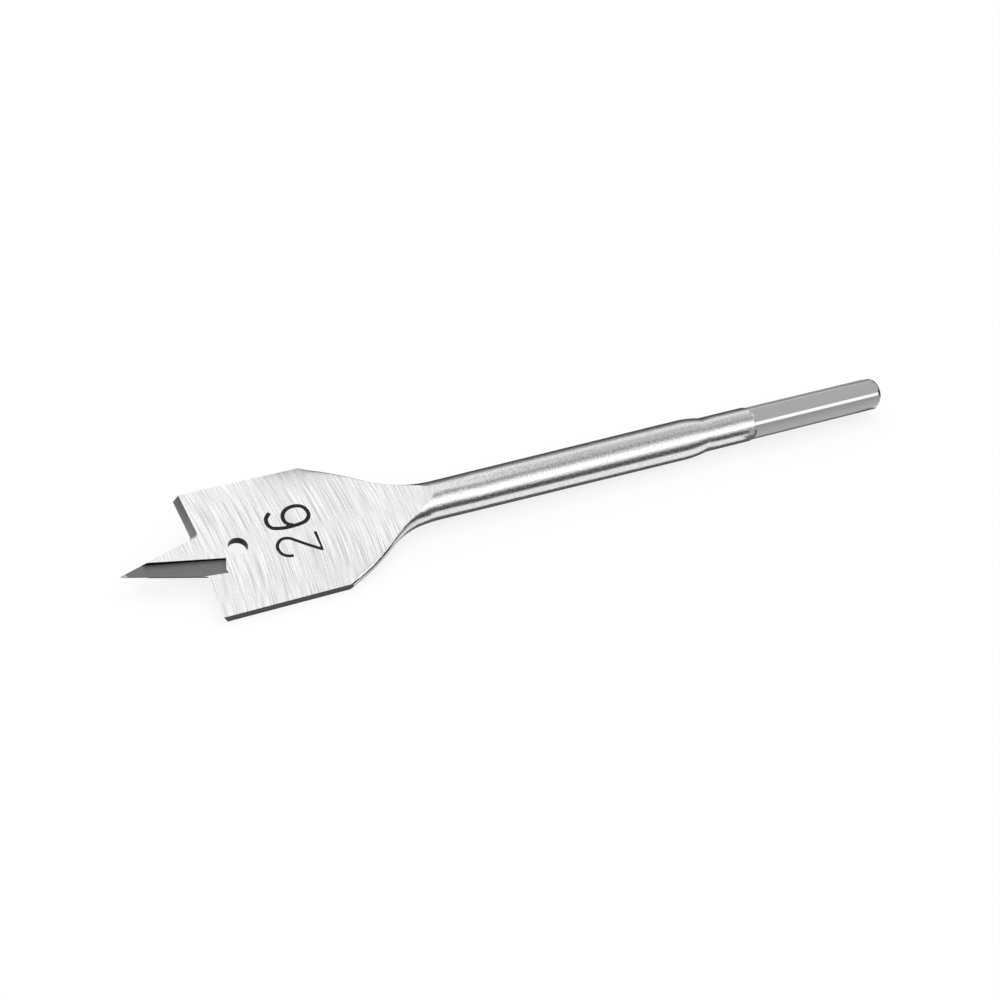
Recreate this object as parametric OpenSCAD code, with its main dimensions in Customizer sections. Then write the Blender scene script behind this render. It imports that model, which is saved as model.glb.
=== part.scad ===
// Spade drill bit: a flat two-lipped blade with a pointed spur, forged in one piece
// with a round shaft and a hexagonal shank. It lies on its shaft and one side of its blade.
// Lengths are in millimetres and angles in degrees. The drilling axis is the X axis,
// with the point of the spur towards -X.

/* [Overall] */
// Length from the point of the spur to the end of the shank
overall_l = 160; // [120:1:200]

/* [Blade] */
// Width across the blade, which is the diameter of the hole it drills
blade_w = 26; // [16:0.5:40]
// Thickness of the ground blade
blade_t = 1.7; // [1.2:0.1:3]
// Distance along the axis from the point to the outer corners of the cutting lips
lip_x = 13.6; // [9:0.1:20]
// Angle by which the outer end of each lip leads its inner end
lip_lead_a = 3; // [0:0.5:8]
// Relief angle ground behind the lips and behind the sides of the spur
relief_a = 27; // [5:1:35]
// Radius in the root between a lip and the spur
root_r = 0.9; // [0.3:0.1:1.5]
// Distance along the axis from the point to the corners where the neck begins
shoulder_x = 37.3; // [28:0.1:44]

/* [Spur] */
// Angle between each side of the spur and the axis
spur_a = 16; // [10:0.5:22]
// Width of the short chisel edge at the point
tip_w = 0.2; // [0.1:0.05:0.6]
// Angle between each small facet at the point and the axis
tip_facet_a = 20; // [12:1:35]

/* [Spur grooves] */
// Distance along the axis from the point to the closed end of each groove
groove_end_x = 18; // [14:0.1:22]
// Distance from the axis to the upright wall of the groove, measured at that end
groove_wall_y = 1.75; // [1.2:0.05:2.5]
// Angle between the upright wall of the groove and the axis
groove_wall_a = 12; // [5:0.5:18]
// Width of the groove at its closed end
groove_w = 3.05; // [1.5:0.05:4]
// Angle between the outer border of the groove and the axis
groove_border_a = 8.5; // [3:0.5:14]
// Angle at which the floor of the groove falls towards its wall
groove_floor_a = 12; // [5:0.5:16]

/* [Hole] */
// Diameter of the hole through the blade
hole_d = 3.5; // [2:0.1:5]
// Distance along the axis from the point to the centre of the hole
hole_x = 20.8; // [19:0.1:30]

/* [Neck] */
// Angle between the axis and the edge of the neck where it leaves the blade
neck_start_a = 22.5; // [12:0.5:30]
// Steepest angle between the axis and the edge of the neck
neck_steep_a = 37; // [32:0.5:50]
// Radius of the outward curve of the neck
neck_out_r = 45; // [30:1:60]
// Distance along the axis from the point to where the ground faces start to rise
ramp_x = 40.6; // [36:0.1:46]
// Radius at which the ground faces rise out of the neck
ramp_r = 50; // [30:1:80]

/* [Shaft] */
// Diameter of the shaft beside the neck
shaft_neck_d = 7.3; // [6:0.1:9]
// Diameter of the shaft at its thick end
shaft_end_d = 7.9; // [7:0.1:10]
// Distance along the axis from the point to the thick end of the shaft
shaft_end_x = 112.5; // [90:0.5:125]
// Radius of the rounded step from the shaft down to the shank
step_r = 24; // [8:1:60]

/* [Shank] */
// Diameter of the round collar and across the rounded corners of the hexagon
collar_d = 6.85; // [6.5:0.05:7.2]
// Width of the hexagon across its flats
hex_af = 6.35; // [5:0.05:6.45]
// Length of the flats of the hexagon
hex_l = 32; // [20:0.1:36]
// Angle by which the hexagon is turned from the plane of the blade
hex_turn_a = 8; // [0:1:59]
// Distance along the axis over which the ends of the flats run out
flat_run = 0.8; // [0.2:0.1:2]
// Length of the chamfer at the end of the shank
end_chamfer = 0.4; // [0.1:0.1:1]

/* [Hidden] */
// Small overlap where curves would only touch
meet = 0.005;
// Reach of cutting shapes past the solid
past = 20;
blade_h = blade_t / 2;
half_w = blade_w / 2;

// Neck edge: an outward arc about neck_out_c, then an inward arc about neck_in_c
neck_out_c = [shoulder_x - neck_out_r * sin(neck_start_a), half_w - neck_out_r * cos(neck_start_a)];
neck_turn = neck_out_c + neck_out_r * [sin(neck_steep_a), cos(neck_steep_a)];
neck_in_r = (neck_turn[1] - shaft_neck_d / 2) / (1 - cos(neck_steep_a)) + meet;
neck_in_c = neck_turn + neck_in_r * [sin(neck_steep_a), cos(neck_steep_a)] - [0, meet];
neck_end_x = neck_in_c[0];
blank_r = half_w + 0.6;

// Shaft: a slender cone, its step arc and the shank
shaft_slope = (shaft_end_d - shaft_neck_d) / 2 / (shaft_end_x - neck_end_x);
step_c = [shaft_end_x, shaft_end_d / 2 + meet - step_r];
step_end_x = shaft_end_x + sqrt(pow(step_r, 2) - pow(collar_d / 2 - step_c[1], 2));
hex_x = overall_l - hex_l;
hex_corner_r = hex_af / 2 / cos(30);
run_slope = 2 * flat_run / (collar_d - hex_af);
run_past = 0.2;

// Root of the notch on the cutting face: where the lip line and the spur side meet
relief_run = tan(relief_a);
spur_side_y = tip_w / 2 + blade_h * relief_run / cos(spur_a);
lip_lead = tan(lip_lead_a);
spur_rise = tan(spur_a);
root_x = (lip_x + lip_lead * (half_w - spur_side_y)) / (1 + lip_lead * spur_rise);
root_y = spur_side_y + root_x * spur_rise;

// Walls of the notch, each leaning by the relief angle: unit normals into the solid
lip_n = [cos(lip_lead_a) * cos(relief_a), -sin(lip_lead_a) * cos(relief_a), sin(relief_a)];
spur_n = [sin(spur_a) * cos(relief_a), cos(spur_a) * cos(relief_a), sin(relief_a)];
notch_z = cross(lip_n, spur_n) / norm(cross(lip_n, spur_n));
notch_y = cross(notch_z, lip_n);
notch_a = acos(lip_n * spur_n);
// Directions of the two walls in the section across the notch, and the angle between them
lip_dir = [0, -1];
spur_dir = [-sin(notch_a), cos(notch_a)];
notch_open_a = acos(lip_dir * spur_dir);
root_mid = (lip_dir + spur_dir) / norm(lip_dir + spur_dir);
root_back = root_r / tan(notch_open_a / 2);

// Foot of the groove border on the blade face, at the closed end
groove_foot_x = groove_end_x - groove_w * sin(groove_wall_a);
groove_foot_y = -groove_wall_y - groove_w * cos(groove_wall_a);

// Rest: the thick end of the shaft and one blade edge touch the floor
rest_h = shaft_end_d / 2;
rest_roll = asin(rest_h / sqrt(pow(half_w, 2) + pow(blade_h, 2))) - atan(blade_h / half_w);
$fa = 3;
$fs = 0.2;

// Outline of half a lengthwise section, as radius and distance from the point
module half_section() {
  difference() {
    union() {
      intersection() {
        translate([0, -3])
          square([blank_r, neck_turn[0] + 4]);
        translate([neck_out_c[1], neck_out_c[0]])
          circle(r = neck_out_r);
      }
      difference() {
        translate([0, neck_turn[0]])
          square([neck_turn[1] - meet, neck_end_x - neck_turn[0]]);
        translate([neck_in_c[1], neck_in_c[0]])
          circle(r = neck_in_r);
      }
      polygon([
        [0, neck_end_x - 6],
        [shaft_neck_d / 2 - 6 * shaft_slope, neck_end_x - 6],
        [shaft_end_d / 2 + (step_end_x - shaft_end_x) * shaft_slope, step_end_x],
        [collar_d / 2, step_end_x],
        [collar_d / 2, overall_l - end_chamfer],
        [collar_d / 2 - end_chamfer, overall_l],
        [0, overall_l]
      ]);
    }
    difference() {
      translate([collar_d / 2, shaft_end_x])
        square([2, step_end_x - shaft_end_x + 1]);
      translate([step_c[1], step_c[0]])
        circle(r = step_r);
    }
  }
}

// Round blank: head, neck, shaft, collar and shank as one turned body
module blank() {
  rotate([90, 0, 90])
    rotate_extrude()
      half_section();
}

// Everything above one ground face of the blade and of the neck
module face_cut() {
  rotate([90, 0, 0])
    linear_extrude(height = blade_w + past, center = true)
      union() {
        translate([-past, blade_h])
          square([past + ramp_x, past]);
        intersection() {
          translate([ramp_x, 0])
            square([past + neck_end_x - ramp_x, past + blade_h]);
          translate([ramp_x, blade_h + ramp_r])
            circle(r = ramp_r);
        }
      }
}

// Everything past one ground side of the blade
module side_cut() {
  translate([-past, half_w, -past])
    cube([past + neck_end_x, past, 2 * past]);
}

// Notch between the spur and one lip, leaning so that the edges on one face cut
module notch_cut() {
  multmatrix([
    [lip_n[0], notch_y[0], notch_z[0], root_x],
    [lip_n[1], notch_y[1], notch_z[1], -root_y],
    [lip_n[2], notch_y[2], notch_z[2], blade_h]
  ])
    linear_extrude(height = past, center = true)
      union() {
        polygon([
          lip_dir * root_back,
          lip_dir * 2 * past,
          (lip_dir + spur_dir) * 2 * past,
          spur_dir * 2 * past,
          spur_dir * root_back
        ]);
        translate(root_mid * root_r / sin(notch_open_a / 2))
          circle(r = root_r);
      }
}

// Groove along one side of the spur, with an upright wall and a sloping floor
module groove_cut() {
  intersection() {
    linear_extrude(height = past)
      polygon([
        [groove_end_x, -groove_wall_y],
        [groove_end_x - past * cos(groove_wall_a), past * sin(groove_wall_a) - groove_wall_y],
        [groove_end_x - past * cos(groove_wall_a), -past],
        [groove_foot_x - past * cos(groove_wall_a), -past],
        [groove_foot_x - sin(groove_wall_a), groove_foot_y - cos(groove_wall_a)]
      ]);
    translate([groove_foot_x, groove_foot_y, blade_h])
      rotate([0, 0, -groove_border_a])
        rotate([-groove_floor_a, 0, 0])
          translate([-2 * past, 0, 0])
            cube([3 * past, past, past]);
  }
}

// Small facet on one side of the point
module facet_cut() {
  rotate([90, 0, 0])
    linear_extrude(height = 6, center = true)
      polygon([
        [0, 0],
        [6, 6 * tan(tip_facet_a)],
        [6, past],
        [-past, past],
        [-past, -past * tan(tip_facet_a)]
      ]);
}

// Ground left by the flats: all that lies outside the hexagon
module flats_cut() {
  difference() {
    rotate([90, 0, 90])
      rotate_extrude()
        polygon([
          [hex_af / 2 - run_past, hex_x + flat_run + run_past * run_slope],
          [collar_d / 2 + run_past, hex_x - run_past * run_slope],
          [collar_d / 2 + run_past, overall_l + 2],
          [hex_af / 2 - run_past, overall_l + 2]
        ]);
    translate([hex_x - 1, 0, 0])
      rotate([30 + hex_turn_a, 0, 0])
        rotate([0, 90, 0])
          cylinder(r = hex_corner_r, h = hex_l + 4, $fn = 6);
  }
}

// Both faces are alike: each cut is made again after half a turn about the axis
module both_ways() {
  children();
  rotate([180, 0, 0])
    children();
}

// The bit with its axis on X, its point at the origin and its faces level
module bit() {
  difference() {
    blank();
    both_ways() {
      face_cut();
      side_cut();
      notch_cut();
      groove_cut();
      facet_cut();
    }
    translate([hole_x, 0, 0])
      cylinder(d = hole_d, h = 2 * blade_t, center = true);
    flats_cut();
  }
}

// The bit as it lies at rest
module spade_bit() {
  color([0.72, 0.73, 0.74])
    translate([-overall_l / 2, 0, rest_h])
      rotate([rest_roll, 0, 0])
        bit();
}

spade_bit();
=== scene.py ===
"""Spade drill bit, 26 mm: ground blade, grooved spur, flared neck, satin shaft and hexagonal shank."""
import math

import bmesh
import bpy
from mathutils import Matrix, Vector


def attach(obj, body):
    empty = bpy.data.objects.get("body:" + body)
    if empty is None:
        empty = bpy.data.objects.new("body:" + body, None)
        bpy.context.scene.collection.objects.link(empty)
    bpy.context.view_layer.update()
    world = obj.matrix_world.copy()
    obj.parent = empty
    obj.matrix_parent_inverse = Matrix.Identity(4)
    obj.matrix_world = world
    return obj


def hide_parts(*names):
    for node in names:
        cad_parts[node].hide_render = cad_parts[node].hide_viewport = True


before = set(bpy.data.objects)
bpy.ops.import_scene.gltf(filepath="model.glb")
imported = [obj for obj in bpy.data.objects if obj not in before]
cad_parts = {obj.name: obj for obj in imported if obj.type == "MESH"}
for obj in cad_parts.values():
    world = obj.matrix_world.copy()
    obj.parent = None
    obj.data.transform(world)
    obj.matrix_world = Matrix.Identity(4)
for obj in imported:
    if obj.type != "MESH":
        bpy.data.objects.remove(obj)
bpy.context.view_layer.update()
scene = bpy.context.scene
scene.view_settings.view_transform = "Standard"

# Sizes of the bit in millimetres, with places measured from the point along its axis
BIT_L = 160.0
BLADE_W = 26.0
BLADE_T = 1.7
SHOULDER_X = 37.8
EDGE_BREAK = 0.05

# Cutting lips, spur and point
LIP_X = 13.6
LIP_LEAD = math.radians(3)
RELIEF = math.radians(27)
ROOT_R = 0.9
SPUR_A = math.radians(16)
TIP_W = 0.2
TIP_FACET_A = math.radians(20)

# Grooves of the spur, with the bow of their closed end by the share of their width
GROOVE_END_X = 18.0
GROOVE_WALL_Y = 1.75
GROOVE_WALL_A = math.radians(12)
GROOVE_W = 3.05
GROOVE_BORDER_A = math.radians(5.8)
GROOVE_FLOOR_A = math.radians(10.2)
GROOVE_BOW = ((1.0, -0.12), (0.75, 0.3), (0.5, 0.2), (0.25, 0.1))

# Hole behind the spur
HOLE_D = 3.5
HOLE_X = 20.8

# Neck, and the ramps by which the ground faces rise out of it
NECK_START_A = math.radians(22.5)
NECK_STEEP_A = math.radians(37)
NECK_OUT_R = 45.0
NECK_BACK = 3.0
RAMP_X = 40.6
RAMP_R = 54.0
TONGUE_SOFT_X = 54.0
TONGUE_END = math.radians(86)

# Flank of the neck: pressed flat in its middle and drawn in, round towards its borders
FLANK_FLAT = 0.7
FLANK_SET = 0.05
FLANK_ROUND = 0.25
FLANK_POWER = 4

# Narrow break between a flank and a ground face
BREAK_IN = 0.2
BREAK_DROP = 0.14
BREAK_X = 37.0
BREAK_RISE_L = 1.5
BREAK_END_X = 56.0
BREAK_FADE_L = 12.0

# Shaft, rounded step, collar and hexagonal shank
SHAFT_NECK_D = 7.3
SHAFT_END_D = 7.9
SHAFT_END_X = 112.5
STEP_R = 24.0
COLLAR_D = 6.85
HEX_AF = 6.22
HEX_L = 32.0
HEX_TURN = 38.0
FLAT_RUN = 0.8
END_TAPER = 0.45
END_TAPER_L = 0.9

# Size mark: radius of the pen, its share for the thinner figure, grain and height of the ink
PEN_R = 0.38
THIN_PEN = 0.82
INK_GRAIN = 0.08
INK_HEIGHT = 0.04

# Neck edge: an outward arc and then an inward arc that runs into the shaft
START_DIR = Vector((math.sin(NECK_START_A), math.cos(NECK_START_A)))
STEEP_DIR = Vector((math.sin(NECK_STEEP_A), math.cos(NECK_STEEP_A)))
NECK_OUT_C = Vector((SHOULDER_X, BLADE_W / 2)) - NECK_OUT_R * START_DIR
NECK_TURN = NECK_OUT_C + NECK_OUT_R * STEEP_DIR
NECK_IN_R = (NECK_TURN.y - SHAFT_NECK_D / 2) / (1 - math.cos(NECK_STEEP_A))
NECK_IN_C = NECK_TURN + NECK_IN_R * STEEP_DIR
NECK_END_X = NECK_IN_C.x
STEP_C_R = SHAFT_END_D / 2 - STEP_R
STEP_END_X = SHAFT_END_X + math.sqrt(STEP_R ** 2 - (COLLAR_D / 2 - STEP_C_R) ** 2)
HEX_X = BIT_L - HEX_L

# How the bit lies: on the thick end of its shaft and on one edge of its blade
MM = 0.001
REST_H = SHAFT_END_D / 2
REST_ROLL = math.asin(REST_H / math.hypot(BLADE_W / 2, BLADE_T / 2)) - math.atan(BLADE_T / BLADE_W)
LYING = Matrix.Translation((-BIT_L / 2, 0, REST_H)) @ Matrix.Rotation(REST_ROLL, 4, "X")
TO_METRES = Matrix.Scale(MM, 4)

# Points around the bar: as many on each flat of the hexagon as on each of its corners
HEX_STEPS = 8
SIXTH = 60
AROUND = 6 * 2 * HEX_STEPS
QUARTER = AROUND // 4

# Rings of points along the bar, and where they turn from the borders of the faces to the flats
BLADE_RINGS = (-1.0, 6.0, 13.0, 24.0, 33.0)
NECK_RINGS_X, NECK_RING_GAP, NECK_RINGS = 34.0, 0.2, 105
TONGUE_BEFORE, TONGUE_AFTER = 1.5, 0.5
TONGUE_RING_GAP, TONGUE_RINGS = 0.08, 24
NECK_END_RINGS, SHAFT_RINGS, STEP_RINGS, COLLAR_RINGS = 6, 26, 20, 4
RUN_RING_GAP, RUN_RINGS = 0.06, 15
SHANK_RINGS = (5.0, 14.0, 23.0)
TAPER_RINGS = 6
RING_EASE_L = 10.0
RING_TURN_START = 12.0
RING_TURN_ROOM = 14.0

# Cutters: how far they reach past the steel, and how finely they are rounded
NOTCH_REACH, NOTCH_DEEP, ROOT_STEPS = 40.0, 12.0, 14
GROOVE_REACH, GROOVE_OUT_Y, GROOVE_OVERRUN = 24.0, 12.0, 2.2
GROOVE_LOW, GROOVE_HIGH = -3.0, 4.0
FACET_REACH, FACET_HIGH, FACET_HALF_W = 6.0, 12.0, 3.0
HOLE_CUT_L, HOLE_STEPS = 8.0, 72

# Limits for merging points, cutting, level faces, edges to break and edges that look sharp
BAR_WELD = 1e-5
CUT_WELD = 1e-6
GROUND_WELD = 2e-4
LEVEL_A = 1e-4
BREAK_A = math.radians(26)
CREASE_A = math.radians(12)

# Bend of the grinding lines on the blade, per millimetre
GRIND_BEND = 1 / 150

# Order of the finishes on the bit; the walls of the hole and the grooves get painted shade
SATIN, FACE, LIP, GROOVE, SIDE, SHANK, PAINTED_SHADE_WALL = range(7)


def limited(value):
    """A share, kept between none and all."""
    return min(1.0, max(0.0, value))


def neck_half_width(u):
    """Half width of the bar at a place along the axis, without the straight sides of the blade."""
    if u < NECK_TURN.x:
        u = max(u, SHOULDER_X - NECK_BACK)
        return NECK_OUT_C.y + math.sqrt(NECK_OUT_R ** 2 - (u - NECK_OUT_C.x) ** 2)
    if u < NECK_END_X:
        return NECK_IN_C.y - math.sqrt(NECK_IN_R ** 2 - (u - NECK_IN_C.x) ** 2)
    return shaft_radius(u)


def shaft_radius(u):
    """Radius of the tapered shaft, the rounded step, the collar and the tapered end."""
    if u < NECK_END_X:
        return SHAFT_NECK_D / 2
    if u < SHAFT_END_X:
        t = (u - NECK_END_X) / (SHAFT_END_X - NECK_END_X)
        return (SHAFT_NECK_D + t * (SHAFT_END_D - SHAFT_NECK_D)) / 2
    if u < STEP_END_X:
        return STEP_C_R + math.sqrt(STEP_R ** 2 - (u - SHAFT_END_X) ** 2)
    return COLLAR_D / 2 - END_TAPER * max(0.0, (u - BIT_L) / END_TAPER_L + 1)


def ground_height(u):
    """Height of a ground face over the middle of the bit."""
    if u < RAMP_X:
        return BLADE_T / 2
    return BLADE_T / 2 + RAMP_R - math.sqrt(RAMP_R ** 2 - min(u - RAMP_X, RAMP_R) ** 2)


def hex_angle(j):
    """Angle of a point around the shank, by its number from the start of a flat."""
    half = math.degrees(math.acos(HEX_AF / COLLAR_D))
    k, m = divmod(j, 2 * HEX_STEPS)
    start = HEX_TURN - SIXTH - half + SIXTH * k
    if m <= HEX_STEPS:
        return math.radians(start + 2 * half * m / HEX_STEPS)
    return math.radians(start + 2 * half + (SIXTH - 2 * half) * (m - HEX_STEPS) / HEX_STEPS)


def shank_radius(u, angle):
    """Radius on the shank, where six flats run out into the round collar."""
    off = (math.degrees(angle) - HEX_TURN + SIXTH / 2) % SIXTH - SIXTH / 2
    flat = HEX_AF / 2 / math.cos(math.radians(off))
    run = COLLAR_D / 2 - (u - HEX_X) / FLAT_RUN * (COLLAR_D - HEX_AF) / 2
    return min(shaft_radius(u), max(flat, run))


def border_break(u):
    """Share of the full break beside a ground face, from the shoulder to where the face ends."""
    return limited(min((u - BREAK_X) / BREAK_RISE_L, (BREAK_END_X - u) / BREAK_FADE_L))


def neck_point(u, quarter, step):
    """A point around the blade and the neck: the quarters are flank, face, flank and face."""
    wide, deep, flat = neck_half_width(u), shaft_radius(u), ground_height(u)
    side = 1 if quarter < 2 else -1
    share = border_break(u)
    border = math.asin(flat / deep)
    top = math.asin((flat - BREAK_DROP) / deep)
    rim = wide * (math.cos(border) + share * (math.cos(top) - math.cos(border)))
    rim -= share * (FLANK_SET + FLANK_ROUND + BREAK_IN)
    if quarter % 2 == 1:
        return Vector((u, side * rim * (1 - 2 * step / QUARTER), side * flat))
    if step == 0:
        return Vector((u, side * rim, -side * flat))
    across = 2 * (step - 1) / (QUARTER - 2) - 1
    reach = min(border + share * (top - border), border * (1 - 2 / QUARTER))
    turn = reach * across
    bulge = math.cos(turn) - share * FLANK_FLAT * (math.cos(turn) - math.cos(reach))
    out = wide * bulge - share * (FLANK_SET + FLANK_ROUND * across ** FLANK_POWER)
    return Vector((u, side * out, side * deep * math.sin(turn)))


def shaft_point(u, j):
    """A point around the shaft, the collar and the shank, in rings that turn to meet the flats."""
    quarter, step = divmod(j, QUARTER)
    t = step / QUARTER
    ease = limited((u - NECK_END_X) / RING_EASE_L)
    border = TONGUE_END + (math.pi / 4 - TONGUE_END) * ease * ease * (3 - 2 * ease)
    turn = border * (2 * t - 1) if quarter % 2 == 0 else border + (math.pi - 2 * border) * t
    turn += 0 if quarter < 2 else math.pi
    turn_l = SHAFT_END_X - NECK_END_X - RING_TURN_ROOM
    turn += limited((u - NECK_END_X - RING_TURN_START) / turn_l) * (hex_angle(j) - turn)
    wide, deep = neck_half_width(u), shaft_radius(u)
    if u > HEX_X:
        wide = deep = shank_radius(u, turn)
    return Vector((u, wide * math.cos(turn), deep * math.sin(turn)))


def bar_point(u, j):
    """A point around the forged bar, by its place along the axis and its number in the ring."""
    j %= AROUND
    if u < NECK_END_X and ground_height(u) < shaft_radius(u) * math.sin(TONGUE_END):
        return neck_point(u, *divmod(j, QUARTER))
    return shaft_point(u, j)


def spaced(start, stop, count):
    """Even steps from one place to another, without the first."""
    return [start + (stop - start) * k / count for k in range(1, count + 1)]


def stations():
    """Places along the axis where the bar gets a ring of points, closest where its shape changes."""
    tongue = RAMP_X + math.sqrt(RAMP_R ** 2 - (RAMP_R + BLADE_T / 2 - SHAFT_NECK_D / 2) ** 2)
    before, after = tongue - TONGUE_BEFORE, tongue + TONGUE_AFTER
    neck = [NECK_RINGS_X + NECK_RING_GAP * k for k in range(NECK_RINGS)]
    out = list(BLADE_RINGS) + [u for u in neck if u < before]
    out += [before + TONGUE_RING_GAP * k for k in range(TONGUE_RINGS)]
    out += [after] + spaced(after, NECK_END_X, NECK_END_RINGS)
    out += spaced(NECK_END_X, SHAFT_END_X, SHAFT_RINGS)
    out += spaced(SHAFT_END_X, STEP_END_X, STEP_RINGS)
    out += spaced(STEP_END_X, HEX_X, COLLAR_RINGS)
    out += [HEX_X + RUN_RING_GAP * k for k in range(1, RUN_RINGS + 1)]
    out += [HEX_X + u for u in SHANK_RINGS]
    out += [BIT_L - END_TAPER_L] + spaced(BIT_L - END_TAPER_L, BIT_L, TAPER_RINGS)
    return out


def everything(bm):
    """All that a mesh holds, for an operator that cuts it."""
    return bm.verts[:] + bm.edges[:] + bm.faces[:]


def close_rim(bm, finish):
    """Closes the open edges of a mesh with faces of one finish."""
    rim = [e for e in bm.edges if e.is_boundary]
    for f in bmesh.ops.holes_fill(bm, edges=rim, sides=0)["faces"]:
        f.material_index = finish


def forged_bar():
    """The bar with its ground faces, before the front is cut, as a mesh in millimetres."""
    along = stations()
    bm = bmesh.new()
    bmesh.ops.create_grid(bm, x_segments=len(along) - 1, y_segments=AROUND, size=1)
    for v in bm.verts:
        i = round((v.co.x + 1) / 2 * (len(along) - 1))
        j = round((v.co.y + 1) / 2 * AROUND)
        v.index = i * (AROUND + 1) + j
        v.co = bar_point(along[i], j)
    for f in bm.faces:
        cells = [divmod(v.index, AROUND + 1) for v in f.verts]
        i, j = min(c[0] for c in cells), min(c[1] for c in cells)
        ground = (j // QUARTER) % 2 == 1 and along[i] < NECK_END_X
        ground = ground and ground_height(along[i + 1]) < SHAFT_NECK_D / 2 * math.sin(TONGUE_END)
        f.material_index = FACE if ground else SHANK if along[i] >= HEX_X else SATIN
    bmesh.ops.remove_doubles(bm, verts=bm.verts[:], dist=BAR_WELD)
    close_rim(bm, SHANK)
    for side in (1, -1):
        bmesh.ops.bisect_plane(
            bm, geom=everything(bm), dist=CUT_WELD,
            plane_co=(0, side * BLADE_W / 2, 0), plane_no=(0, side, 0), clear_outer=True,
        )
        close_rim(bm, SIDE)
    bmesh.ops.recalc_face_normals(bm, faces=bm.faces[:])
    return bm


def new_points(grown):
    """The points among what an extrusion made."""
    return [g for g in grown["geom"] if isinstance(g, bmesh.types.BMVert)]


def prism(points, low, high, finish):
    """A plate cut to an outline, from one height to another."""
    bm = bmesh.new()
    plate = bm.faces.new([bm.verts.new((x, y, low)) for x, y in points])
    raised = bmesh.ops.extrude_face_region(bm, geom=[plate])
    bmesh.ops.translate(bm, verts=new_points(raised), vec=(0, 0, high - low))
    bmesh.ops.recalc_face_normals(bm, faces=bm.faces[:])
    for f in bm.faces:
        f.material_index = finish
    return bm


def notch_cutter():
    """Wheel shape that grinds the notch between the spur and one lip, leaning by the relief angle."""
    run = math.tan(RELIEF)
    spur_y = TIP_W / 2 + BLADE_T / 2 * run / math.cos(SPUR_A)
    lead, rise = math.tan(LIP_LEAD), math.tan(SPUR_A)
    root_x = (LIP_X + lead * (BLADE_W / 2 - spur_y)) / (1 + lead * rise)
    root_y = spur_y + root_x * rise
    level, lean = math.cos(RELIEF), math.sin(RELIEF)
    lip_n = Vector((math.cos(LIP_LEAD) * level, -math.sin(LIP_LEAD) * level, lean))
    spur_n = Vector((math.sin(SPUR_A) * level, math.cos(SPUR_A) * level, lean))
    axis_z = lip_n.cross(spur_n).normalized()
    axis_y = axis_z.cross(lip_n)
    between = lip_n.angle(spur_n)
    lip_dir, spur_dir = Vector((0, -1)), Vector((-math.sin(between), math.cos(between)))
    opening = lip_dir.angle(spur_dir)
    middle = (lip_dir + spur_dir).normalized()
    back = ROOT_R / math.tan(opening / 2)
    centre = middle * ROOT_R / math.sin(opening / 2)
    outline = [lip_dir * NOTCH_REACH, lip_dir * back]
    start, stop = lip_dir * back - centre, spur_dir * back - centre
    sweep = start.angle_signed(stop)
    for k in range(1, ROOT_STEPS):
        outline.append(centre + Matrix.Rotation(-sweep * k / ROOT_STEPS, 2) @ start)
    outline += [spur_dir * back, spur_dir * NOTCH_REACH, (lip_dir + spur_dir) * NOTCH_REACH]
    bm = prism(outline, -NOTCH_DEEP, NOTCH_DEEP, LIP)
    place = Matrix((lip_n, axis_y, axis_z)).transposed().to_4x4()
    place.translation = (root_x, -root_y, BLADE_T / 2)
    bmesh.ops.transform(bm, matrix=place, verts=bm.verts[:])
    return bm


def groove_cutter():
    """Wedge that grinds the groove along one side of the spur: an upright wall and a sloping floor."""
    along = Vector((math.cos(GROOVE_WALL_A), -math.sin(GROOVE_WALL_A)))
    across = Vector((-math.sin(GROOVE_WALL_A), -math.cos(GROOVE_WALL_A)))
    corner = Vector((GROOVE_END_X, -GROOVE_WALL_Y))
    foot = corner + GROOVE_W * across
    wall_start = corner - GROOVE_REACH * along
    outline = [corner, wall_start, Vector((wall_start.x, -GROOVE_OUT_Y)), foot + GROOVE_OVERRUN * across]
    outline += [corner + t * GROOVE_W * across - Vector((bow, 0)) for t, bow in GROOVE_BOW]
    bm = prism(outline, GROOVE_LOW, GROOVE_HIGH, PAINTED_SHADE_WALL)
    tilt = Matrix.Rotation(-GROOVE_BORDER_A, 3, "Z") @ Matrix.Rotation(-GROOVE_FLOOR_A, 3, "X")
    bmesh.ops.bisect_plane(
        bm, geom=everything(bm), dist=CUT_WELD,
        plane_co=(foot.x, foot.y, BLADE_T / 2), plane_no=tilt @ Vector((0, 0, 1)), clear_inner=True,
    )
    close_rim(bm, GROOVE)
    bmesh.ops.recalc_face_normals(bm, faces=bm.faces[:])
    return bm


def facet_cutter():
    """Block that grinds the small facet on one side of the point."""
    rise = FACET_REACH * math.tan(TIP_FACET_A)
    outline = [
        (0, 0), (FACET_REACH, rise), (FACET_REACH, FACET_HIGH),
        (-FACET_REACH, FACET_HIGH), (-FACET_REACH, -rise),
    ]
    bm = prism(outline, -FACET_HALF_W, FACET_HALF_W, FACE)
    bmesh.ops.transform(bm, matrix=Matrix.Rotation(math.pi / 2, 4, "X"), verts=bm.verts[:])
    return bm


def hole_cutter():
    """Drill for the hole behind the spur."""
    bm = bmesh.new()
    bmesh.ops.create_cone(
        bm, cap_ends=True, segments=HOLE_STEPS, radius1=HOLE_D / 2, radius2=HOLE_D / 2, depth=HOLE_CUT_L,
        matrix=Matrix.Translation((HOLE_X, 0, 0)),
    )
    for f in bm.faces:
        f.material_index = PAINTED_SHADE_WALL
    return bm


def workpiece(name, bm, finishes):
    """An object at the origin made from a finished bmesh."""
    mesh = bpy.data.meshes.new(name)
    bm.to_mesh(mesh)
    bm.free()
    for m in finishes:
        mesh.materials.append(m)
    obj = bpy.data.objects.new(name, mesh)
    scene.collection.objects.link(obj)
    return obj


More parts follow.
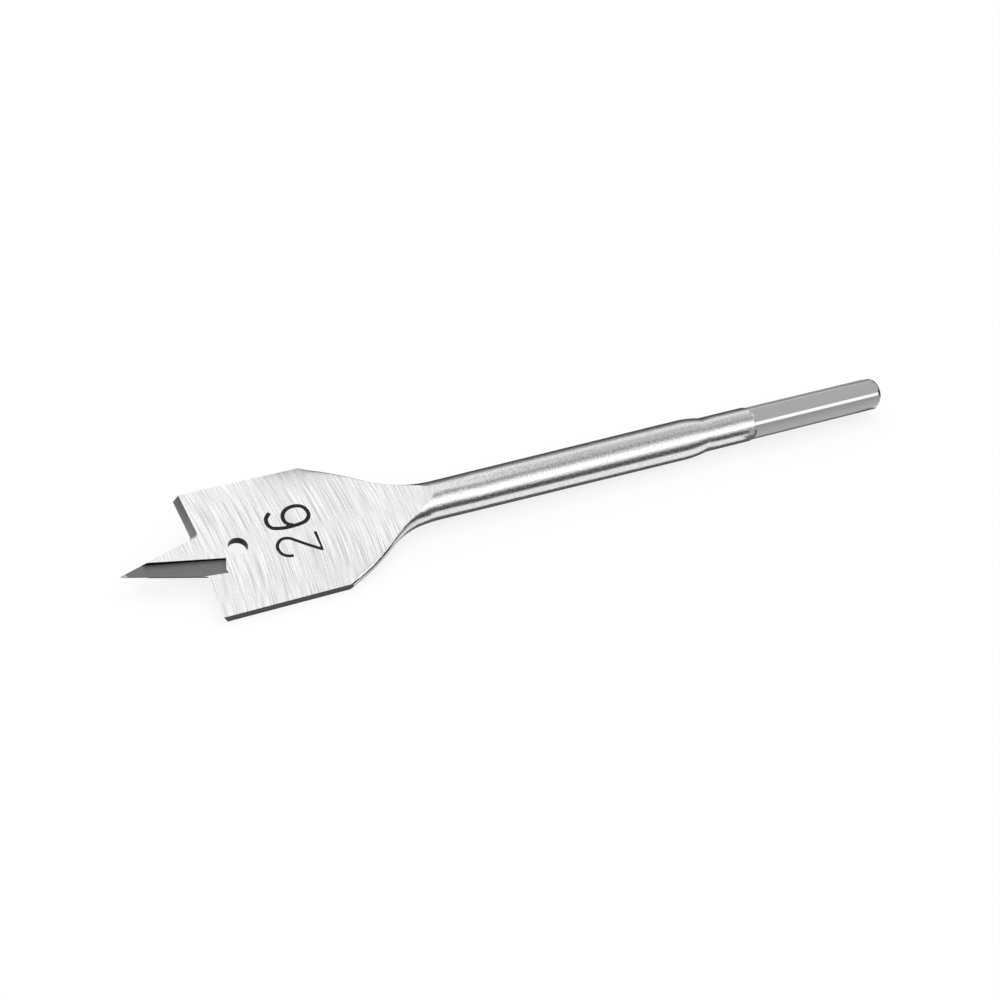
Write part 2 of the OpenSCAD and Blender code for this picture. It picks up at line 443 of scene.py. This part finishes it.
def grind(obj, cutters, finishes):
    """Takes each cutter out of the workpiece and returns the ground shape as a bmesh."""
    tools = []
    for k, bm in enumerate(cutters):
        tool = workpiece("cutter_%d" % k, bm, finishes)
        mod = obj.modifiers.new("cut_%d" % k, "BOOLEAN")
        mod.operation = "DIFFERENCE"
        mod.solver = "EXACT"
        mod.object = tool
        tools.append(tool)
    ground = bmesh.new()
    ground.from_object(obj, bpy.context.evaluated_depsgraph_get())
    for tool in tools + [obj]:
        bpy.data.objects.remove(tool)
    return ground


def half_turned(make):
    """The cutter as made, and once more after half a turn about the axis."""
    other = make()
    bmesh.ops.transform(other, matrix=Matrix.Rotation(math.pi, 4, "X"), verts=other.verts[:])
    return [make(), other]


def join_level_faces(bm):
    """Joins neighbouring faces of one ground finish that lie in one plane."""
    level = []
    for e in bm.edges:
        if len(e.link_faces) == 2 and e.calc_face_angle(1) < LEVEL_A:
            first, second = (f.material_index for f in e.link_faces)
            if first == second and first in (FACE, SIDE, LIP, GROOVE):
                level.append(e)
    bmesh.ops.dissolve_limit(bm, angle_limit=LEVEL_A, verts=[], edges=level)


def break_edges(bm):
    """Takes a narrow round off the sharp edges, except around the end of the ground faces."""
    front = [e for e in bm.edges if max(v.co.x for v in e.verts) < TONGUE_SOFT_X]
    bmesh.ops.dissolve_degenerate(bm, dist=EDGE_BREAK, edges=front)
    sharp = [e for e in bm.edges if len(e.link_faces) == 2 and e.calc_face_angle(0) > BREAK_A]
    sharp = [e for e in sharp if not TONGUE_SOFT_X < e.verts[0].co.x < HEX_X]
    bmesh.ops.bevel(
        bm, geom=sharp, offset=EDGE_BREAK, offset_type="OFFSET", segments=2, profile=0.5, affect="EDGES",
        material=-1, clamp_overlap=True,
    )


def lay_down(bm):
    """Puts a shape from the bit's own axes in millimetres to its place at rest in metres."""
    bmesh.ops.transform(bm, matrix=TO_METRES @ LYING, verts=bm.verts[:])
    bmesh.ops.recalc_face_normals(bm, faces=bm.faces[:])


def ground_bit(finishes):
    """The whole bit: the bar with its front ground to shape and its edges broken."""
    bar = workpiece("bar", forged_bar(), finishes)
    cutters = half_turned(notch_cutter) + half_turned(groove_cutter)
    cutters += half_turned(facet_cutter) + [hole_cutter()]
    bm = grind(bar, cutters, finishes)
    bmesh.ops.remove_doubles(bm, verts=bm.verts[:], dist=GROUND_WELD)
    join_level_faces(bm)
    break_edges(bm)
    lay_down(bm)
    for f in bm.faces:
        f.smooth = True
    for e in bm.edges:
        e.smooth = len(e.link_faces) == 2 and e.calc_face_angle(0) < CREASE_A
    return workpiece("spade_bit_ground", bm, finishes)


def smooth_line(points, steps=10):
    """Points on a smooth line through the given ones."""
    pts = [Vector(p) for p in points]
    pts = [2 * pts[0] - pts[1]] + pts + [2 * pts[-1] - pts[-2]]
    out = []
    for k in range(1, len(pts) - 2):
        p0, p1, p2, p3 = pts[k - 1:k + 3]
        for s in range(steps):
            t = s / steps
            out.append(0.5 * (2 * p1 + (p2 - p0) * t + (2 * p0 - 5 * p1 + 4 * p2 - p3) * t * t
                              + (3 * p1 - p0 - 3 * p2 + p3) * t * t * t))
    return out + [pts[-2]]


def size_mark(ink):
    """The drilling size in plain pen strokes on the upper face of the blade."""
    six = smooth_line([
        (28.47, 5.11), (27.5, 4.1), (27.31, 2.88), (27.78, 1.98), (28.8, 1.56), (30.23, 1.34), (31.75, 1.36),
        (33.1, 1.48), (34.21, 1.81), (35.06, 2.73), (35.12, 3.87), (34.61, 4.8), (33.69, 5.25), (32.61, 5.3),
        (31.5, 4.96), (30.63, 4.11), (30.39, 2.9), (30.81, 2.01), (31.6, 1.53),
    ])
    two = smooth_line([
        (29.42, -4.57), (28.4, -4.33), (27.62, -3.74), (27.27, -2.63), (27.48, -1.69), (28.27, -0.92),
        (29.2, -0.74), (30.07, -1.0), (30.92, -1.66), (32.15, -2.69), (33.42, -3.69), (34.82, -4.74),
    ])
    two_foot = Vector((34.88, -0.82))
    curve = bpy.data.curves.new("size_mark_pen", "CURVE")
    curve.dimensions = "3D"
    curve.bevel_depth = PEN_R
    curve.bevel_resolution = 3
    curve.use_fill_caps = True
    for stroke, share in ((six, 1.0), (two + [two_foot], THIN_PEN)):
        line = curve.splines.new("POLY")
        line.points.add(len(stroke) - 1)
        for p, q in zip(line.points, stroke):
            p.co = (q.x, q.y, 0, 1)
            p.radius = share
    pen = bpy.data.objects.new("size_mark_pen", curve)
    scene.collection.objects.link(pen)
    flow = pen.modifiers.new("ink_flow", "REMESH")
    flow.mode = "VOXEL"
    flow.voxel_size = INK_GRAIN
    inked = bpy.data.meshes.new_from_object(pen.evaluated_get(bpy.context.evaluated_depsgraph_get()))
    bm = bmesh.new()
    bm.from_mesh(inked)
    bpy.data.meshes.remove(inked)
    bpy.data.objects.remove(pen)
    bmesh.ops.scale(bm, vec=(1, 1, INK_HEIGHT), verts=bm.verts[:])
    bmesh.ops.translate(bm, vec=(0, 0, BLADE_T / 2), verts=bm.verts[:])
    lay_down(bm)
    return workpiece("size_mark", bm, [ink])


class Finish:
    """A node material with the bit's own axes in millimetres at hand."""

    def __init__(self, name, colour, rough, metal=1.0):
        self.mat = bpy.data.materials.new(name)
        self.mat.use_nodes = True
        self.nodes, self.links = self.mat.node_tree.nodes, self.mat.node_tree.links
        self.shader = self.nodes["Principled BSDF"]
        self.shader.inputs["Base Color"].default_value = (colour, colour, colour, 1)
        self.shader.inputs["Roughness"].default_value = rough
        self.shader.inputs["Metallic"].default_value = metal
        place = self.nodes.new("ShaderNodeTexCoord")
        own = self.nodes.new("ShaderNodeMapping")
        own.vector_type = "TEXTURE"
        own.inputs["Location"].default_value = (-BIT_L / 2 * MM, 0, REST_H * MM)
        own.inputs["Rotation"].default_value = (REST_ROLL, 0, 0)
        own.inputs["Scale"].default_value = (MM, MM, MM)
        self.links.new(place.outputs["Object"], own.inputs["Vector"])
        self.own = own.outputs["Vector"]

    def stretched(self, scale, axes=None):
        """The bit's axes, or the given ones, stretched for a pattern."""
        node = self.nodes.new("ShaderNodeMapping")
        node.inputs["Scale"].default_value = scale
        self.links.new(axes or self.own, node.inputs["Vector"])
        return node.outputs["Vector"]

    def arcs(self, bend):
        """Axes that follow the curved grinding lines: along the bit, and across the blade."""
        split = self.nodes.new("ShaderNodeSeparateXYZ")
        self.links.new(self.own, split.inputs["Vector"])
        square = self.math("MULTIPLY", split.outputs["Y"], split.outputs["Y"])
        bent = self.math("MULTIPLY_ADD", square, bend, split.outputs["X"])
        join = self.nodes.new("ShaderNodeCombineXYZ")
        self.links.new(bent, join.inputs["X"])
        self.links.new(split.outputs["Y"], join.inputs["Y"])
        return join.outputs["Vector"]

    def math(self, kind, *values):
        """A sum of sockets and plain numbers."""
        node = self.nodes.new("ShaderNodeMath")
        node.operation = kind
        for k, v in enumerate(values):
            if isinstance(v, (int, float)):
                node.inputs[k].default_value = v
            else:
                self.links.new(v, node.inputs[k])
        return node.outputs[0]

    def noise(self, axes, scale=1.0, detail=2.0, rough=0.5):
        """A cloudy pattern around one half."""
        node = self.nodes.new("ShaderNodeTexNoise")
        node.inputs["Scale"].default_value = scale
        node.inputs["Detail"].default_value = detail
        node.inputs["Roughness"].default_value = rough
        self.links.new(axes, node.inputs["Vector"])
        return node.outputs["Fac"]

    def spread(self, value, out_low, out_high, low=0.3, high=0.7):
        """A pattern's range, taken to another range."""
        node = self.nodes.new("ShaderNodeMapRange")
        for k, v in zip(("From Min", "From Max", "To Min", "To Max"), (low, high, out_low, out_high)):
            node.inputs[k].default_value = v
        self.links.new(value, node.inputs["Value"])
        return node.outputs["Result"]

    def colour(self, value):
        """Lets a pattern set the grey of the steel."""
        self.links.new(value, self.shader.inputs["Base Color"])

    def roughness(self, value):
        """Lets a pattern set how dull the steel is."""
        self.links.new(value, self.shader.inputs["Roughness"])

    def bump(self, value, depth, strength):
        """Lets a pattern roughen the surface by a depth in metres."""
        node = self.nodes.new("ShaderNodeBump")
        node.inputs["Distance"].default_value = depth
        node.inputs["Strength"].default_value = strength
        self.links.new(value, node.inputs["Height"])
        self.links.new(node.outputs["Normal"], self.shader.inputs["Normal"])


def satin_shaft():
    """Satin steel with a fine grain in its reflections."""
    f = Finish("satin_shaft", 0.8, 0.2)
    grain = f.noise(f.stretched((2.4, 3.6, 3.6)))
    f.colour(f.spread(grain, 0.66, 0.92))
    f.roughness(f.spread(grain, 0.15, 0.27))
    f.bump(grain, 0.00003, 0.6)
    return f.mat


def ground_face():
    """Bright blade face with curved grinding lines across it, some of them thin and dark."""
    f = Finish("ground_face", 0.9, 0.34)
    arcs = f.arcs(GRIND_BEND)
    broad = f.noise(f.stretched((1.1, 0.05, 1), arcs))
    fine = f.noise(f.stretched((8.0, 0.1, 1), arcs), rough=0.6)
    grain = f.noise(f.stretched((8.0, 2.8, 1), arcs), detail=1.0)
    scratch = f.noise(f.stretched((4.2, 0.06, 1), arcs), detail=1.0)
    lines = f.math("MULTIPLY_ADD", fine, 0.7, f.math("MULTIPLY", broad, 0.06))
    lines = f.math("MULTIPLY_ADD", grain, 0.18, lines)
    lines = f.math("ADD", lines, f.spread(scratch, 0.0, -0.09, 0.6, 0.68))
    f.colour(f.spread(lines, 0.62, 1.0, 0.365, 0.545))
    f.roughness(f.spread(lines, 0.42, 0.3))
    f.bump(lines, 0.00002, 0.3)
    return f.mat


def ground_lip():
    """Finer ground steel of the lips and the spur sides."""
    f = Finish("ground_lip", 0.6, 0.3)
    lines = f.noise(f.stretched((2.0, 0.2, 6.0)), detail=3.0, rough=0.6)
    f.colour(f.spread(lines, 0.42, 0.54))
    f.roughness(f.spread(lines, 0.26, 0.36))
    return f.mat


def dull_groove():
    """Dull grey steel left in the grooves of the spur."""
    f = Finish("dull_groove", 0.17, 0.5, metal=0.35)
    grain = f.noise(f.stretched((0.6, 3.0, 3.0)), 2.0, 3.0, 0.6)
    f.colour(f.spread(grain, 0.15, 0.19))
    f.roughness(f.spread(grain, 0.45, 0.6))
    return f.mat


def ground_side():
    """Ground steel of the blade's two sides."""
    f = Finish("ground_side", 0.55, 0.34)
    lines = f.noise(f.stretched((0.3, 1.0, 5.0)), 2.0, 3.0, 0.6)
    f.colour(f.spread(lines, 0.48, 0.62))
    return f.mat


def plain_shank():
    """Smooth drawn steel of the shank."""
    f = Finish("plain_shank", 0.78, 0.22)
    lines = f.noise(f.stretched((0.1, 2.0, 2.0)), 2.0, 3.0)
    f.colour(f.spread(lines, 0.68, 0.72))
    f.roughness(f.spread(lines, 0.15, 0.18))
    return f.mat


def shade_painted_wall():
    """Walls of the hole and of the grooves, painted near-black as painted shade, since they face away from
    the light.
    """
    f = Finish("shade_painted_wall", 0.05, 0.45)
    rings = f.noise(f.stretched((0.4, 0.4, 6.0)), detail=3.0, rough=0.6)
    # Near-black grey is painted shade, with faint rings of the drill in it
    f.colour(f.spread(rings, 0.012, 0.035))
    return f.mat


def marking_ink():
    """Black marking of the size."""
    f = Finish("marking_ink", 0.02, 0.55, metal=0.0)
    grain = f.noise(f.own, 4.0)
    f.colour(f.spread(grain, 0.008, 0.02))
    f.shader.inputs["Specular IOR Level"].default_value = 0.2
    return f.mat


# The bit and its mark, in place of the plain solid
finishes = [
    satin_shaft(), ground_face(), ground_lip(), dull_groove(), ground_side(), plain_shank(), shade_painted_wall(),
]
bit = ground_bit(finishes)
mark = size_mark(marking_ink())
for piece in (bit, mark):
    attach(piece, "root")
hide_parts("spade_bit")

# Studio floor in metres: half its side, its drop below the bit, its white and the share that glows
FLOOR_HALF = 4.0
FLOOR_DROP = 0.00001
FLOOR_WHITE = 0.97
FLOOR_GLOW = 0.8

# Studio tent in metres, with its brightness by the angle from straight overhead to the front in degrees
TENT_HALF_L = 2.0
TENT_R = 0.6
TENT_STEPS = 48
TENT_BANDS = [
    (-90, 0.12), (-80, 0.15), (-70, 0.27), (-60, 0.55), (-50, 0.95), (-43, 1.0), (-35, 0.82), (-28, 0.66),
    (-20, 0.6), (0, 0.56), (10, 0.4), (16, 0.38), (22, 0.46), (28, 0.7), (34, 1.0), (45, 1.4), (66, 1.4),
    (73, 1.0), (79, 0.55), (85, 0.2), (90, 0.1),
]

# Studio cards in millimetres: how far they stand off, how high they lie, where they start and end
CARD_OFF_Y = 13.5
CARD_LIFT = 0.01
CARD_STEPS = 60
CARD_INSET = 1.0
CARD_PAST = 20.0
CARD_DARK = 0.08
FRONT_CARD_LOW, FRONT_CARD_HIGH = 2.2, 6.2
FRONT_CARD_RISE_X, FRONT_CARD_RISE = 40.0, 0.27
UNDER_CARD_HALF, UNDER_CARD_IN, UNDER_CARD_TONE = 4.9, 0.3, 0.1
NECK_CARD_GAP, NECK_CARD_END_X, NECK_CARD_BEND = 1.5, 62.0, 5
SHANK_CARD_X, SHANK_CARD_Y, SHANK_CARD_L = 50.0, -8.4, 90.0
SHANK_CARD_STEP, SHANK_CARD_TOP = 0.7, 3.9
SHANK_CARD_TONES = (0.62, 0.54, 0.47, 0.4)
SHANK_BACK_Y, SHANK_BACK_TONE = 6.0, 0.45
SHANK_UNDER_PAST, SHANK_UNDER_TONE = 3.0, 0.15

# Straight cards: name, corner and two sides in millimetres from the middle of the bit, tone
STRAIGHT_CARDS = (
    ("back_card", (-44, CARD_OFF_Y, 0), (210, 0, 0), (0, 0, 7.8), CARD_DARK),
    ("neck_back_card", (-48, 15, 0), (28, 0, 0), (0, 0, 15), CARD_DARK),
    ("neck_stop_card", (-21, -CARD_OFF_Y, 1.2), (0, 6.3, 0), (0, 0, 4.3), CARD_DARK),
    ("lip_card", (-91, 4, 0), (0, 44, 0), (0, 0, 26), 0.05),
    ("side_card", (-68, -17, CARD_LIFT), (26, 0, 0), (0, 4.6, 0), 0.12),
    ("spur_card", (-84, -9, CARD_LIFT), (23, 0, 0), (0, 11, 0), 0.1),
    ("end_card", (96, -14, 0), (0, 28, 0), (0, 0, 16), CARD_DARK),
)


def bare_material(name):
    """A material without its shader, with its nodes and links."""
    mat = bpy.data.materials.new(name)
    mat.use_nodes = True
    nodes = mat.node_tree.nodes
    nodes.remove(nodes["Principled BSDF"])
    mat.cycles.emission_sampling = "NONE"
    return mat, nodes, mat.node_tree.links


def white_floor():
    """White paper that keeps a soft shadow where it is looked at, directly or in the steel."""
    mat, nodes, links = bare_material("white_floor")
    paper = nodes.new("ShaderNodeBsdfDiffuse")
    paper.inputs["Color"].default_value = (FLOOR_WHITE, FLOOR_WHITE, FLOOR_WHITE, 1)
    glow = nodes.new("ShaderNodeEmission")
    path = nodes.new("ShaderNodeLightPath")
    seen = path.outputs["Is Camera Ray"]
    for name in ("Is Glossy Ray", "Is Transmission Ray"):
        both = nodes.new("ShaderNodeMath")
        both.operation = "MAXIMUM"
        links.new(seen, both.inputs[0])
        links.new(path.outputs[name], both.inputs[1])
        seen = both.outputs[0]
    share = nodes.new("ShaderNodeMath")
    share.operation = "MULTIPLY"
    share.inputs[1].default_value = FLOOR_GLOW
    links.new(seen, share.inputs[0])
    pick = nodes.new("ShaderNodeMixShader")
    links.new(share.outputs[0], pick.inputs[0])
    links.new(paper.outputs[0], pick.inputs[1])
    links.new(glow.outputs[0], pick.inputs[2])
    links.new(pick.outputs[0], nodes["Material Output"].inputs["Surface"])
    bm = bmesh.new()
    drop = Matrix.Translation((0, 0, -FLOOR_DROP))
    bmesh.ops.create_grid(bm, x_segments=1, y_segments=1, size=FLOOR_HALF, matrix=drop)
    return workpiece("floor", bm, [mat])


def band_tent():
    """Half round tent over the bit, which gives the steel its light and dark bands."""
    mat, nodes, links = bare_material("band_tent")
    place = nodes.new("ShaderNodeTexCoord")
    split = nodes.new("ShaderNodeSeparateXYZ")
    links.new(place.outputs["Object"], split.inputs[0])
    front = nodes.new("ShaderNodeMath")
    front.operation = "MULTIPLY"
    front.inputs[1].default_value = -1
    links.new(split.outputs["Y"], front.inputs[0])
    angle = nodes.new("ShaderNodeMath")
    angle.operation = "ARCTAN2"
    links.new(front.outputs[0], angle.inputs[0])
    links.new(split.outputs["Z"], angle.inputs[1])
    around = nodes.new("ShaderNodeMapRange")
    around.inputs["From Min"].default_value = -math.pi / 2
    around.inputs["From Max"].default_value = math.pi / 2
    links.new(angle.outputs[0], around.inputs["Value"])
    bands = nodes.new("ShaderNodeValToRGB")
    ramp = bands.color_ramp
    while len(ramp.elements) < len(TENT_BANDS):
        ramp.elements.new(0.5)
    for stop, (deg, level) in zip(ramp.elements, TENT_BANDS):
        stop.position = (deg + 90) / 180
        stop.color = (level, level, level, 1)
    links.new(around.outputs[0], bands.inputs[0])
    glow = nodes.new("ShaderNodeEmission")
    links.new(bands.outputs["Color"], glow.inputs["Color"])
    links.new(glow.outputs[0], nodes["Material Output"].inputs["Surface"])
    bm = bmesh.new()
    ends = [bm.verts.new((x, -TENT_R, 0)) for x in (-TENT_HALF_L, TENT_HALF_L)]
    rim = bm.edges.new(ends)
    bmesh.ops.spin(
        bm, geom=ends + [rim], cent=(0, 0, 0), axis=(1, 0, 0), angle=-math.pi, steps=TENT_STEPS,
    )
    return workpiece("band_tent", bm, [mat])


def card_piece(name, bm, level):
    """A card of one tone from a shape in millimetres."""
    mat = bpy.data.materials.new(name)
    mat.use_nodes = True
    shader = mat.node_tree.nodes["Principled BSDF"]
    shader.inputs["Base Color"].default_value = (0, 0, 0, 1)
    shader.inputs["Specular IOR Level"].default_value = 0.0
    shader.inputs["Emission Color"].default_value = (level, level, level, 1)
    shader.inputs["Emission Strength"].default_value = 1.0
    mat.cycles.emission_sampling = "NONE"
    bmesh.ops.scale(bm, vec=(MM, MM, MM), verts=bm.verts[:])
    return workpiece(name, bm, [mat])


def straight_card(name, corner, long_side, short_side, level):
    """A card with straight sides beside the bit."""
    bm = bmesh.new()
    ends = [bm.verts.new(corner), bm.verts.new(Vector(corner) + Vector(long_side))]
    rim = bm.edges.new(ends)
    grown = bmesh.ops.extrude_edge_only(bm, edges=[rim])
    bmesh.ops.translate(bm, verts=new_points(grown), vec=short_side)
    return card_piece(name, bm, level)


def long_card(name, start, stop, edges, level):
    """A card along the bit between two edges, each of which gives y and z for a place along the axis."""
    bm = bmesh.new()
    bmesh.ops.create_grid(bm, x_segments=CARD_STEPS, y_segments=1, size=1)
    for v in bm.verts:
        u = start + (v.co.x + 1) / 2 * (stop - start)
        edge = edges[0] if v.co.y < 0 else edges[1]
        v.co = (u - BIT_L / 2, *edge(u))
    return card_piece(name, bm, level)


def lying_card(name, start, stop, near, far, level):
    """A card that lies on the floor between two lines along the bit."""
    edges = (lambda u: (near(u), CARD_LIFT), lambda u: (far(u), CARD_LIFT))
    return long_card(name, start, stop, edges, level)


def upright_card(name, start, stop, top, level):
    """A card that stands before the bit, with a top edge that follows a line."""
    edges = (lambda u: (-CARD_OFF_Y, 0), lambda u: (-CARD_OFF_Y, top(u)))
    return long_card(name, start, stop, edges, level)


def front_card_top(u):
    """Top of the card before the bit, low at the shoulder for the light borders of the flank."""
    return min(FRONT_CARD_HIGH, FRONT_CARD_LOW + FRONT_CARD_RISE * max(0.0, u - FRONT_CARD_RISE_X))


def under_half(u):
    """Half width of the card under the neck, the shaft and the collar."""
    return max(UNDER_CARD_HALF, neck_half_width(u) - UNDER_CARD_IN)


def neck_card_edge(u):
    """Edge of the card before the neck, which leaves a light strip of floor beside it."""
    t = (u - SHOULDER_X) / (NECK_CARD_END_X - SHOULDER_X)
    beside = neck_half_width(u) + NECK_CARD_GAP
    return -min(CARD_OFF_Y, beside + t ** NECK_CARD_BEND * (CARD_OFF_Y - beside))


def dark_cards():
    """Cards that darken single reflections in the blade, the neck and the shaft."""
    front_end = STEP_END_X + CARD_PAST
    out = [upright_card("front_card", SHOULDER_X - CARD_INSET, front_end, front_card_top, CARD_DARK)]
    out += [straight_card(*row) for row in STRAIGHT_CARDS]
    out.append(lying_card(
        "under_card", SHOULDER_X, HEX_X + CARD_INSET, lambda u: -under_half(u), under_half, UNDER_CARD_TONE,
    ))
    out.append(lying_card(
        "neck_card", SHOULDER_X, NECK_CARD_END_X, lambda u: -CARD_OFF_Y, neck_card_edge, CARD_DARK,
    ))
    return out


def shank_cards():
    """Cards that give the flats of the shank their greys."""
    out = [
        lying_card(
            "shank_back_card", HEX_X + 2 * CARD_INSET, BIT_L + CARD_PAST,
            lambda u: SHANK_BACK_Y, lambda u: CARD_OFF_Y, SHANK_BACK_TONE,
        ),
        lying_card(
            "shank_under_card", HEX_X + CARD_INSET, BIT_L + SHANK_UNDER_PAST,
            lambda u: SHANK_CARD_Y, lambda u: COLLAR_D / 2, SHANK_UNDER_TONE,
        ),
    ]
    for k, level in enumerate(SHANK_CARD_TONES):
        corner = (SHANK_CARD_X, SHANK_CARD_Y, SHANK_CARD_STEP * k)
        last = k == len(SHANK_CARD_TONES) - 1
        height = SHANK_CARD_TOP if last else SHANK_CARD_STEP
        out.append(straight_card("shank_card_%d" % k, corner, (SHANK_CARD_L, 0, 0), (0, 0, height), level))
    return out


# Studio: a white floor, and a tent and cards that are seen only in the steel
floor = white_floor()
tent = band_tent()
cards = dark_cards() + shank_cards()
for obj in [tent] + cards:
    obj.visible_camera = False
    obj.visible_diffuse = False
    obj.visible_shadow = False
    obj.visible_transmission = False

# White light from all around, and a soft lamp over the blade
LAMP_LENGTH, LAMP_WIDTH = 0.218, 0.25
LAMP_POWER = 0.094
LAMP_PLACE = (0.009, 0.095, 0.30)
world = bpy.data.worlds.new("studio_white")
world.use_nodes = True
scene.world = world
sky = world.node_tree.nodes["Background"]
sky.inputs["Color"].default_value = (1, 1, 1, 1)
sky.inputs["Strength"].default_value = 1.0
lamp = bpy.data.lights.new("blade_lamp", "AREA")
lamp.shape = "RECTANGLE"
lamp.size = LAMP_LENGTH
lamp.size_y = LAMP_WIDTH
lamp.energy = LAMP_POWER
lamp_obj = bpy.data.objects.new("blade_lamp", lamp)
lamp_obj.location = LAMP_PLACE
scene.collection.objects.link(lamp_obj)

# Camera at the photograph's angle
CAM_RIGHT = Vector((0.88155, -0.4568, 0.1192))
CAM_BACK = Vector((-0.41771, -0.6371, 0.6478))
CAM_PLACE = Vector((-0.14053, -0.20372, 0.20708))
CAM_LENS = 61.27
CAM_SENSOR = 36.0
CAM_CLIP = 0.01
back = CAM_BACK.normalized()
right = (CAM_RIGHT - back * CAM_RIGHT.dot(back)).normalized()
up = back.cross(right)
cam = bpy.data.cameras.new("photo_camera")
cam.lens = CAM_LENS
cam.sensor_width = CAM_SENSOR
cam.sensor_fit = "HORIZONTAL"
cam.clip_start = CAM_CLIP
cam_obj = bpy.data.objects.new("photo_camera", cam)
cam_obj.matrix_world = Matrix.Translation(CAM_PLACE) @ Matrix((right, up, back)).transposed().to_4x4()
scene.collection.objects.link(cam_obj)
scene.camera = cam_obj
